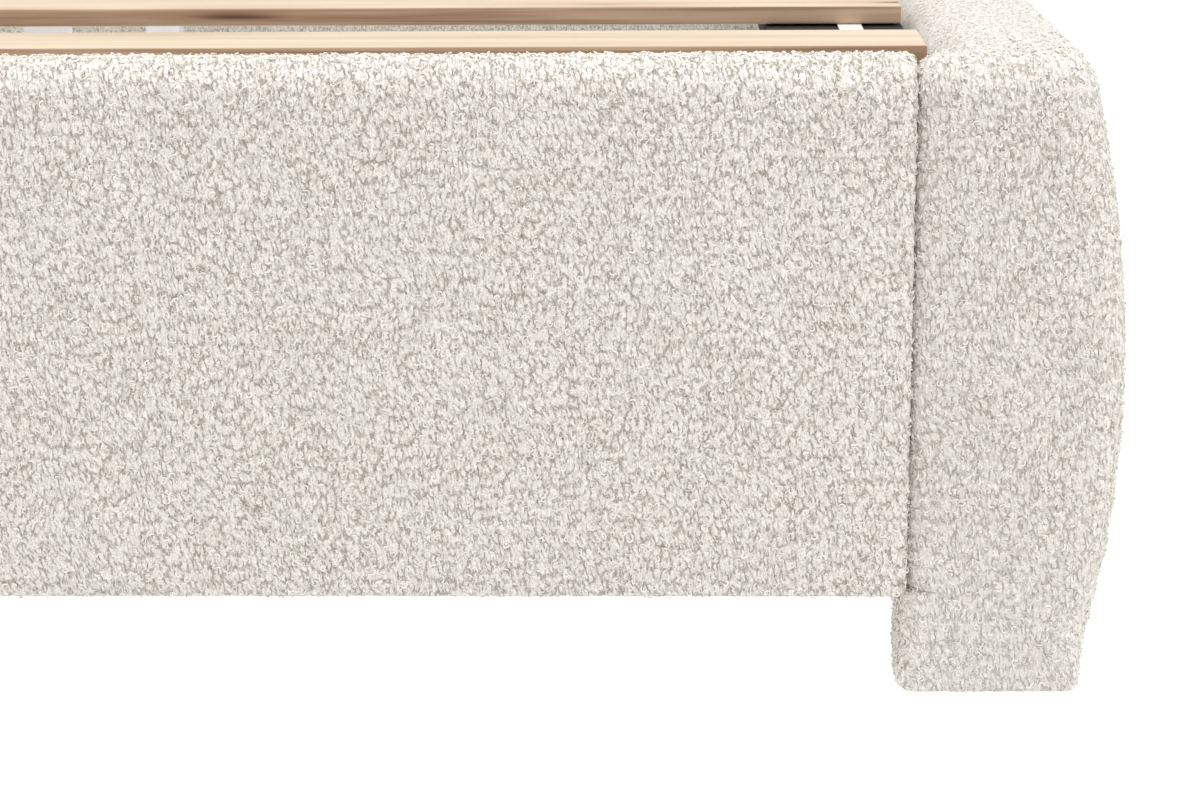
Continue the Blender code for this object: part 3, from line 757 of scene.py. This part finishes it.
def rail_curls(points):
    """Loops on the end, the top and the outer side of the right rail, thinning out towards the head."""
    out = points[:, 0] - SEAM
    hidden = (out < 0.002) & (points[:, 1] > FRONT + 0.012) & (points[:, 2] > RAIL_BOTTOM)
    reach = 0.10 + 0.30 * ease(out, 0.075, 0.10)
    thinning = 1.0 - ease(points[:, 1], FRONT + 0.04, FRONT + reach)
    return thinning * ~hidden * ease(points[:, 2], 0.003, 0.006)


def painted_flat_light(points):
    """Painted light: how much flatter the light is painted on the loops, a little on the side rails and most
    at the foot of the legs, which are also painted lighter.
    """
    outside = ease(abs(points[:, 0]), SEAM - 0.002, SEAM + 0.006)
    return outside * (0.55 + 0.45 * (1.0 - ease(points[:, 2], 0.02, 0.16)))


def near_share(points):
    """1 on the finely meshed foot corner, a third on the coarser rest, none under the dust cover."""
    x_near = ease(points[:, 0], 0.06, 0.16)
    reach = 0.10 + 0.20 * ease(points[:, 0], SEAM + 0.075, SEAM + 0.10)
    y_near = 1.0 - ease(points[:, 1], FRONT + 0.04, FRONT + reach)
    return (0.3 + 0.7 * x_near * y_near) * (1.0 - ease(points[:, 1], BACK - 0.010, BACK - 0.004))


# ---------------------------------------------------------------- side rails


def barrel_x(z):
    return BULGE - BARREL + np.sqrt(BARREL**2 - (z - BULGE_Z) ** 2)


def barrel_line(z_high, z_low, steps=40):
    heights = np.linspace(z_high, z_low, steps)
    return np.column_stack([barrel_x(heights), heights])


def leg_sides(taper):
    """Inner, top, outer and bottom lines of the rail's end where it is also the leg."""
    inside, foot = LEG_INSIDE + taper, LEG_FLOOR
    cut, tuck, corner = LEG_CUT, LEG_TUCK, LEG_CORNER
    corner_x, corner_z = barrel_x(foot + corner) - corner, foot + corner
    edge_x, edge_z = CAP_EDGE + 0.0005, RAIL_TOP - CAP_EDGE
    inner = [
        bow(inside + cut, foot + cut, cut, 225, 180),
        [(inside, RAIL_BOTTOM - tuck)],
        bow(inside + tuck, RAIL_BOTTOM - tuck, tuck, 170, 100, 6),
        [(0.0005, RAIL_BOTTOM + 0.001)],
        bow(edge_x, edge_z, CAP_EDGE, 180, 135),
    ]
    top = [
        bow(edge_x, edge_z, CAP_EDGE, 135, 90),
        [(x, RAIL_TOP) for x in (0.03, 0.045, 0.055, 0.065, 0.075)],
        bow(FLAT_END, RAIL_TOP - SHOULDER, SHOULDER, 90, 53),
    ]
    outer = [
        bow(FLAT_END, RAIL_TOP - SHOULDER, SHOULDER, 53, 17),
        barrel_line(RAIL_TOP - SHOULDER_DROP, corner_z),
        bow(corner_x, corner_z, corner, 0, -45, 6),
    ]
    bottom = [
        bow(corner_x, corner_z, corner, -45, -90, 6),
        bow(inside + cut, foot + cut, cut, 270, 225),
    ]
    lines = [np.concatenate([np.asarray(part) for part in side]) for side in (inner, top, outer, bottom)]
    for line in lines:
        pulled = (1.0 - ease(line[:, 0], 0.045, 0.085)) * ease(line[:, 1], 0.30, RAIL_TOP)
        line[:, 1] -= 1.4 * CREST_DIP * pulled
    return lines


def rail_sides():
    """The same four lines along the rail, clear of the floor."""
    low, turn = RAIL_BOTTOM, RAIL_TURN
    edge_x, edge_z = WALL + RAIL_EDGE, RAIL_TOP - RAIL_EDGE
    inner = [bow(WALL + turn, low + turn, turn, 225, 180), bow(edge_x, edge_z, RAIL_EDGE, 180, 135)]
    top = [bow(edge_x, edge_z, RAIL_EDGE, 135, 90), bow(FLAT_END, RAIL_TOP - SHOULDER, SHOULDER, 90, 53)]
    outer_x = barrel_x(low + turn) - turn
    outer = [
        bow(FLAT_END, RAIL_TOP - SHOULDER, SHOULDER, 53, 17),
        barrel_line(RAIL_TOP - SHOULDER_DROP, low + turn),
        bow(outer_x, low + turn, turn, 0, -45),
    ]
    bottom = [bow(outer_x, low + turn, turn, -45, -90), bow(WALL + turn, low + turn, turn, 270, 225)]
    return [np.concatenate(side) for side in (inner, top, outer, bottom)]


def side_rail_rings(side, counts, depths, steps):
    """Rings of points of one side rail's cover, from its front face to the headboard."""
    counts = (counts[0], counts[1], counts[0], counts[1])
    rail = ring_of(rail_sides(), counts)
    rings = []
    for depth, inset in [*round_over(CORNER_ROUND, steps), *[(d, 0.0) for d in depths]]:
        outline = ring_of(leg_sides(LEG_TAPER * depth), counts)
        behind = ease(depth, CAP_DEPTH, CAP_DEPTH + CAP_BLEND)
        above = ease(outline[:, 1], RAIL_BOTTOM - 0.002, RAIL_BOTTOM + 0.02)[:, None]
        outline = outline + behind * above * (rail - outline)
        outline = outline + ease(depth, LEG_DEPTH, LEG_DEPTH + LEG_BLEND) * (rail - outline)
        heights = np.clip(outline[:, 1], 0.070, RAIL_TOP - 0.060)
        inward = towards(outline, np.column_stack([np.full(len(outline), 0.060), heights]))
        sharper = 1.0 - (1.0 - BOTTOM_ROUND / CORNER_ROUND) * (1.0 - ease(outline[:, 1], 0.004, 0.030))
        seam_side = 1.0 - ease(outline[:, 0], 0.004, 0.016)
        seam_side = seam_side * ease(outline[:, 1], RAIL_BOTTOM, RAIL_BOTTOM + 0.012)
        insets = pressed(inset * sharper, SQUASH * CORNER_ROUND * seam_side)
        outline = outline + inward * insets[:, None]
        depths_here = depth * (sharper if depth < CORNER_ROUND else np.ones(len(outline)))
        ys = FRONT + np.minimum(depths_here, HEAD - FRONT)
        rings.append(np.column_stack([side * (SEAM + outline[:, 0]), ys, outline[:, 1]]))
    return rings, counts


def side_rail_cover(word, side, cloth, trees, fine):
    """Padding and cover of a side rail and its leg, swollen over the foam."""
    end = HEAD - FRONT - RAIL_GAP
    coarse_depths = spread((CORNER_ROUND, 0), (0.10, 0.013), (0.112, 0.004), (end, 0.018))[1:]
    coarse = closed_shell(*side_rail_rings(side, (24, 8), coarse_depths, 5))
    if fine:
        depths = spread((CORNER_ROUND, 0), (0.066, 0.0021), (0.112, 0.003), (0.3, 0.006), (end, 0.012))[1:]
        rings = side_rail_rings(side, (170, 56), depths, 14)
    else:
        depths = spread((CORNER_ROUND, 0), (0.112, 0.005), (end, 0.012))[1:]
        rings = side_rail_rings(side, (84, 30), depths, 8)
    points, faces = closed_shell(*rings)
    shell = swollen(coarse, points, rail_held, RAIL_SWELL, cloth), faces
    curls = rail_curls if fine else None
    upholster(f"side_rail_cover_{word}", shell, f"side_rail_pad_{word}", cloth, trees, curls)


def rail_held(points):
    """The stapled parts of a rail's cover: its underside, inner wall, ends and the corner seam."""
    out = np.abs(points[:, 0]) - SEAM
    low = points[:, 2] < RAIL_BOTTOM + 0.010
    inner = out < WALL + 0.012
    return low | inner | (points[:, 1] > HEAD - 0.012)


# ---------------------------------------------------------------- foot rail


def foot_sides():
    """Front, top, rear and lower lines of the foot rail, each from one rounded corner to the next."""
    high = RAIL_TOP - CREST_DIP
    corners = (
        (FRONT + BOTTOM_ROUND, RAIL_BOTTOM + BOTTOM_ROUND, BOTTOM_ROUND, 14),
        (FRONT + FOOT_FRONT_ROUND, high - FOOT_FRONT_ROUND, FOOT_FRONT_ROUND, 14),
        (FOOT_BACK - FOOT_BACK_ROUND, high - FOOT_BACK_ROUND, FOOT_BACK_ROUND, 14),
        (FOOT_BACK - BOTTOM_ROUND, RAIL_BOTTOM + BOTTOM_ROUND, BOTTOM_ROUND, 14),
    )
    return rounded_sides(corners)


def foot_rail_rings(counts, inner_places, steps):
    """Rings of points of the foot rail's cover, from its left end to its right end."""
    outline = ring_of(foot_sides(), counts)
    heights = np.clip(outline[:, 1], 0.100, RAIL_TOP - 0.034)
    inward = towards(outline, np.column_stack([np.full(len(outline), (FRONT + FOOT_BACK) / 2), heights]))
    flat = SQUASH * FOOT_END_ROUND
    ends = [(SEAM - pressed(depth, flat), inset) for depth, inset in round_over(FOOT_END_ROUND, steps)]
    stations = [(-x, inset) for x, inset in ends] + [(x, 0.0) for x in inner_places] + ends[::-1]
    rings = []
    for x, inset in stations:
        ring = outline + inward * inset
        rings.append(np.column_stack([np.full(len(ring), x), ring]))
    return rings


def foot_held(points):
    """The stapled parts of the foot rail's cover: its underside, back and ends."""
    near_end = np.abs(points[:, 0]) > SEAM - 0.006
    return (points[:, 2] < RAIL_BOTTOM + 0.005) | (points[:, 1] > FOOT_BACK - 0.006) | near_end


def foot_rail_cover(cloth, trees):
    """Padding and cover of the foot rail, swollen over the foam."""
    inner = SEAM - FOOT_END_ROUND
    counts = (24, 5, 24, 5)
    rings = foot_rail_rings(counts, spread((-inner, 0), (inner, 0.014))[1:-1], 3)
    coarse = closed_shell(rings, counts, False)
    counts = (156, 30, 30, 8)
    places = spread((-inner, 0), (0.04, 0.009), (0.14, 0.004), (inner, 0.0022))[1:-1]
    points, faces = closed_shell(foot_rail_rings(counts, places, 9), counts, False)
    shell = swollen(coarse, points, foot_held, FOOT_SWELL, cloth), faces
    upholster("foot_rail_cover", shell, "foot_rail_pad", cloth, trees, foot_curls)


# ---------------------------------------------------------------- headboard


def slab_sides(half, low, high, corner, small):
    """Left, top, right and bottom lines of the headboard's face."""
    corners = (
        (-half + small, low + small, small, 14),
        (-half + corner, high - corner, corner, 20),
        (half - corner, high - corner, corner, 20),
        (half - small, low + small, small, 14),
    )
    return rounded_sides(corners)


def slab_rings(box, corner, small, counts, fronts, depths, backs):
    """Rings from a slab's rounded front edge to its rounded back edge."""
    (low_x, low_y, low_z), (high_x, high_y, high_z) = box
    centre, half = (low_x + high_x) / 2, (high_x - low_x) / 2
    outline = ring_of(slab_sides(half, low_z, high_z, corner, small), counts)
    reach = min(high_x - low_x, high_z - low_z) * 0.35
    across = np.clip(outline[:, 0], reach - half, half - reach)
    heights = np.clip(outline[:, 1], low_z + reach, high_z - reach)
    inward = towards(outline, np.column_stack([across, heights]))
    stations = [(low_y + d, i) for d, i in fronts] + [(low_y + d, 0.0) for d in depths]
    stations += [(high_y - d, i) for d, i in reversed(backs)]
    rings = []
    for y, inset in stations:
        ring = outline + inward * inset
        rings.append(np.column_stack([centre + ring[:, 0], np.full(len(ring), y), ring[:, 1]]))
    return rings


def head_held(points):
    """The headboard's cover is stapled at the back and the underside."""
    return (points[:, 1] > BACK - 0.030) | (points[:, 2] < RAIL_BOTTOM + 0.012)


def join_shells(shells):
    """Several closed shells as one set of points and faces."""
    points, faces, made = [], [], 0
    for some_points, some_faces in shells:
        points.append(some_points)
        faces += [[number + made for number in face] for face in some_faces]
        made += len(some_points)
    return np.concatenate(points), faces


def headboard_cover(cloth, trees):
    """The headboard's padding, with the two padded legs below it."""
    half = HEAD_HIGH.x
    slab = ((-half, HEAD, RAIL_BOTTOM), (half, BACK - RECESS, HEAD_HIGH.z))
    shells = []
    for counts, spacing, steps in (((44, 80, 44, 80), 0.018, 4), ((130, 214, 130, 214), 0.006, 8)):
        depths = spread((HEAD_ROUND, 0), (slab[1][1] - slab[0][1] - HEAD_BACK_ROUND, spacing))[1:-1]
        fronts, backs = round_over(HEAD_ROUND, steps), round_over(HEAD_BACK_ROUND, steps // 2)
        rings = slab_rings(slab, HEAD_CORNER, HEAD_LOW_CORNER, counts, fronts, depths, backs)
        shells.append(closed_shell(rings, counts, True, True))
    coarse, (points, faces) = shells
    shells = [(swollen(coarse, points, head_held, HEAD_SWELL, cloth), faces)]
    for side in (-1, 1):
        xs = sorted((side * (half - HEAD_LEG_WIDE), side * (half - 0.002)))
        leg = ((xs[0], HEAD + 0.002, LEG_FLOOR), (xs[1], BACK - 0.001, RAIL_BOTTOM + 0.02))
        counts = (16, 24, 16, 24)
        depths = spread((LEG_ROUND, 0), (leg[1][1] - leg[0][1] - LEG_BACK_ROUND, 0.006))[1:-1]
        fronts, backs = round_over(LEG_ROUND, 5), round_over(LEG_BACK_ROUND, 3)
        rings = slab_rings(leg, LEG_ROUND, LEG_ROUND, counts, fronts, depths, backs)
        shells.append(closed_shell(rings, counts, True, True))
    upholster("headboard_cover", join_shells(shells), "headboard_pad", cloth, trees)


def back_cover(cloth):
    """Dust cover stretched over the headboard's back and stapled round its edge."""
    low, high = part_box("headboard_back_cover")
    wide, tall = high.x - low.x, high.z - low.z
    counts = (60, 104, 60, 104)
    ring = ring_of(slab_sides(wide / 2, low.z, high.z, SHEET_CORNER, SHEET_LOW_CORNER), counts)
    ring = np.column_stack([ring[:, 0], np.full(len(ring), BACK), ring[:, 1]])
    extra, quads = cap_grid(ring, counts, len(ring), 0)
    points = np.concatenate([ring, extra])
    across = (points[:, 0] - low.x) / wide
    up = (points[:, 2] - low.z) / tall
    edge = np.minimum(np.minimum(across, 1 - across) * wide, np.minimum(up, 1 - up) * tall)
    slack = ease(edge, 0.02, 0.16)
    pucker = np.sin(points[:, 0] * 2 * math.pi / 0.055) * np.sin(points[:, 2] * 2 * math.pi / 0.055)
    points[:, 1] += 0.0012 - 0.0022 * slack + 0.0004 * pucker * (1 - slack)
    sheet = mesh_piece("headboard_dust_cover", points, quads.tolist(), cloth)
    thickness = sheet.modifiers.new("thickness", "SOLIDIFY")
    thickness.thickness = 0.0006
    thickness.offset = 0.0
    plain(sheet)
    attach(sheet, BODY)
    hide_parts("headboard_back_cover")


def staple_tree(metal):
    """Wire staples set at even steps along a path, each a little askew."""
    inputs = {"Geometry": "Geometry", "Spacing": "Float", "Width": "Float", "Wire": "Float"}
    graph, (path, spacing, width, wire) = new_tree("staples", **inputs)
    line = graph.put("GeometryNodeMeshToCurve", 0, None, {0: path})
    points = graph.put("GeometryNodeCurveToPoints", 0, {"mode": "LENGTH"}, {"Curve": line, "Length": spacing})
    along = Signal(graph, points.socket.node.outputs["Tangent"])
    half, rise = width * 0.5, wire * 1.6
    arch = {
        "Resolution": 8,
        "Start": graph.merge(-1.0 * half, 0.0, -1.0 * rise),
        "Start Handle": graph.merge(-1.0 * half, 0.0, rise),
        "End Handle": graph.merge(half, 0.0, rise),
        "End": graph.merge(half, 0.0, -1.0 * rise),
    }
    bent = graph.put("GeometryNodeCurvePrimitiveBezierSegment", 0, None, arch)
    staple = drawn(graph, bent, wire, 6)
    axes = {"primary_axis": "X", "secondary_axis": "Z"}
    facing = graph.put("FunctionNodeAxesToRotation", 0, axes, {0: along, 1: (0.0, 1.0, 0.0)})
    turned = leaning(graph, facing, (0.0, 0.0, -0.35), (0.0, 0.0, 0.35), SEED + 2)
    placed = {"Points": points, "Instance": staple, "Rotation": turned}
    return ended(graph, finished(graph, graph.put("GeometryNodeInstanceOnPoints", 0, None, placed), metal))


def cover_staples(metal):
    """The staples that hold the dust cover, a little in from its edge."""
    low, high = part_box("headboard_back_cover")
    inset = STAPLE_INSET
    half = (high.x - low.x) / 2 - inset
    line = np.concatenate(slab_sides(half, low.z + inset, high.z - inset, STAPLE_CORNER, SHEET_LOW_CORNER))
    points = np.column_stack([line[:, 0], np.full(len(line), BACK + 0.0018), line[:, 1]])
    count = len(points)
    mesh = bpy.data.meshes.new("dust_cover_staples")
    mesh.from_pydata(points.tolist(), [(i, (i + 1) % count) for i in range(count)], [])
    path = bmesh.new()
    path.from_mesh(mesh)
    bmesh.ops.remove_doubles(path, verts=path.verts, dist=0.0005)
    path.to_mesh(mesh)
    path.free()
    staples = bpy.data.objects.new("dust_cover_staples", mesh)
    bpy.context.scene.collection.objects.link(staples)
    run_tree(staples, staple_tree(metal), {"Spacing": 0.042, "Width": 0.010, "Wire": 0.0004})
    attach(staples, BODY)


# ---------------------------------------------------------------- slats


def slat_tree(wood):
    """A row of boards across the bed, each numbered for its own grain."""
    inputs = {"Size": "Vector", "First": "Vector", "Pitch": "Float", "Count": "Int"}
    graph, (size, first, pitch, count) = new_tree("slat_row", **inputs)
    board = graph.put("GeometryNodeMeshCube", 0, None, {"Size": size})
    steps = {"Count": count, "Start Location": first, "Offset": graph.merge(0.0, pitch, 0.0)}
    row = graph.put("GeometryNodeMeshLine", 0, None, steps)
    row = store(graph, row, "board", graph.put("GeometryNodeInputIndex"))
    boards = graph.put("GeometryNodeInstanceOnPoints", 0, None, {"Points": row, "Instance": board})
    return ended(graph, finished(graph, boards, wood, smooth=False))


def made_by(name, tree, values, material):
    """A piece whose mesh a node tree makes."""
    piece = bpy.data.objects.new(name, bpy.data.meshes.new(name))
    bpy.context.scene.collection.objects.link(piece)
    run_tree(piece, tree, values)
    if not piece.data.materials:
        piece.data.materials.append(material)
    return piece


def slats(wood):
    size = SLAT_HIGH - SLAT_LOW
    first = (SLAT_HIGH + SLAT_LOW) / 2
    values = {"Size": size, "First": first, "Pitch": SLAT_PITCH, "Count": SLAT_COUNT}
    row = made_by("slats", slat_tree(wood), values, wood)
    edges = row.modifiers.new("edges", "BEVEL")
    edges.width = 0.0016
    edges.segments = 3
    edges.limit_method = "ANGLE"
    plain(row)
    row.data.shade_smooth()
    row.data.set_sharp_from_angle(angle=math.radians(40))
    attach(row, BODY)
    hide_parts(*[f"slat_{number + 1:02d}" for number in range(SLAT_COUNT)])


# ---------------------------------------------------------------- CAD pieces and the stage


def dress_cad_nodes(finishes):
    """Better materials for the CAD pieces that stay."""
    slots = {row["node"]: row["material_slot"] for row in frame["record"]["subparts"]}
    for name, node in frame["nodes"].items():
        node.data.materials.clear()
        node.data.materials.append(finishes[slots[name]])


def stage():
    scene = bpy.context.scene
    far = FLOOR_REACH
    corners = np.array([(-far, -far, 0.0), (far, -far, 0.0), (far, far, 0.0), (-far, far, 0.0)])
    floor = mesh_piece("floor", corners, [[0, 1, 2, 3]], pale_floor(), smooth=False)
    world = bpy.data.worlds.new("studio")
    world.use_nodes = True
    background = world.node_tree.nodes["Background"]
    background.inputs["Color"].default_value = (1.0, 1.0, 1.0, 1.0)
    background.inputs["Strength"].default_value = SKY
    scene.world = world
    for name, place, size, power in LIGHTS:
        light = bpy.data.lights.new(name, "AREA")
        light.shape = "DISK"
        light.size = size
        light.energy = power
        lamp = bpy.data.objects.new(name, light)
        lamp.location = place
        aim = Vector(LIT) - lamp.location
        lamp.rotation_euler = aim.to_track_quat("-Z", "Y").to_euler()
        scene.collection.objects.link(lamp)
    scene.view_settings.view_transform = "Standard"


def camera():
    lens = bpy.data.cameras.new("camera")
    lens.sensor_width = SENSOR
    lens.lens = LENS
    shot = bpy.data.objects.new("camera", lens)
    turned = Matrix.Rotation(CAMERA_TURN, 4, "Z") @ Matrix.Rotation(math.pi / 2 - CAMERA_TILT, 4, "X")
    shot.matrix_world = Matrix.Translation(CAMERA_PLACE) @ turned @ Matrix.Rotation(CAMERA_ROLL, 4, "Z")
    bpy.context.scene.collection.objects.link(shot)
    bpy.context.scene.camera = shot


camera()
stage()
cream = boucle()
raw_pine = pine()
FINISHES = {
    "boucle": cream,
    "plywood": plywood(),
    "pine": raw_pine,
    "lacquer": lacquer(),
    "lining": nonwoven("black_lining", (0.010, 0.009, 0.008), (0.030, 0.027, 0.024)),
    "dust_cover": nonwoven("dust_cover", (0.014, 0.014, 0.014), (0.040, 0.040, 0.040)),
    "webbing": webbing(),
    "steel": powder_coat(),
    "zinc": zinc_plate(),
    "plastic": moulded_plastic(),
}
dress_cad_nodes(FINISHES)
growth = relief_tree(), curl_tree(cream)
foot_rail_cover(cream, growth)
side_rail_cover("right", 1, cream, growth, fine=True)
side_rail_cover("left", -1, cream, growth, fine=False)
headboard_cover(cream, growth)
back_cover(FINISHES["dust_cover"])
cover_staples(FINISHES["zinc"])
slats(raw_pine)
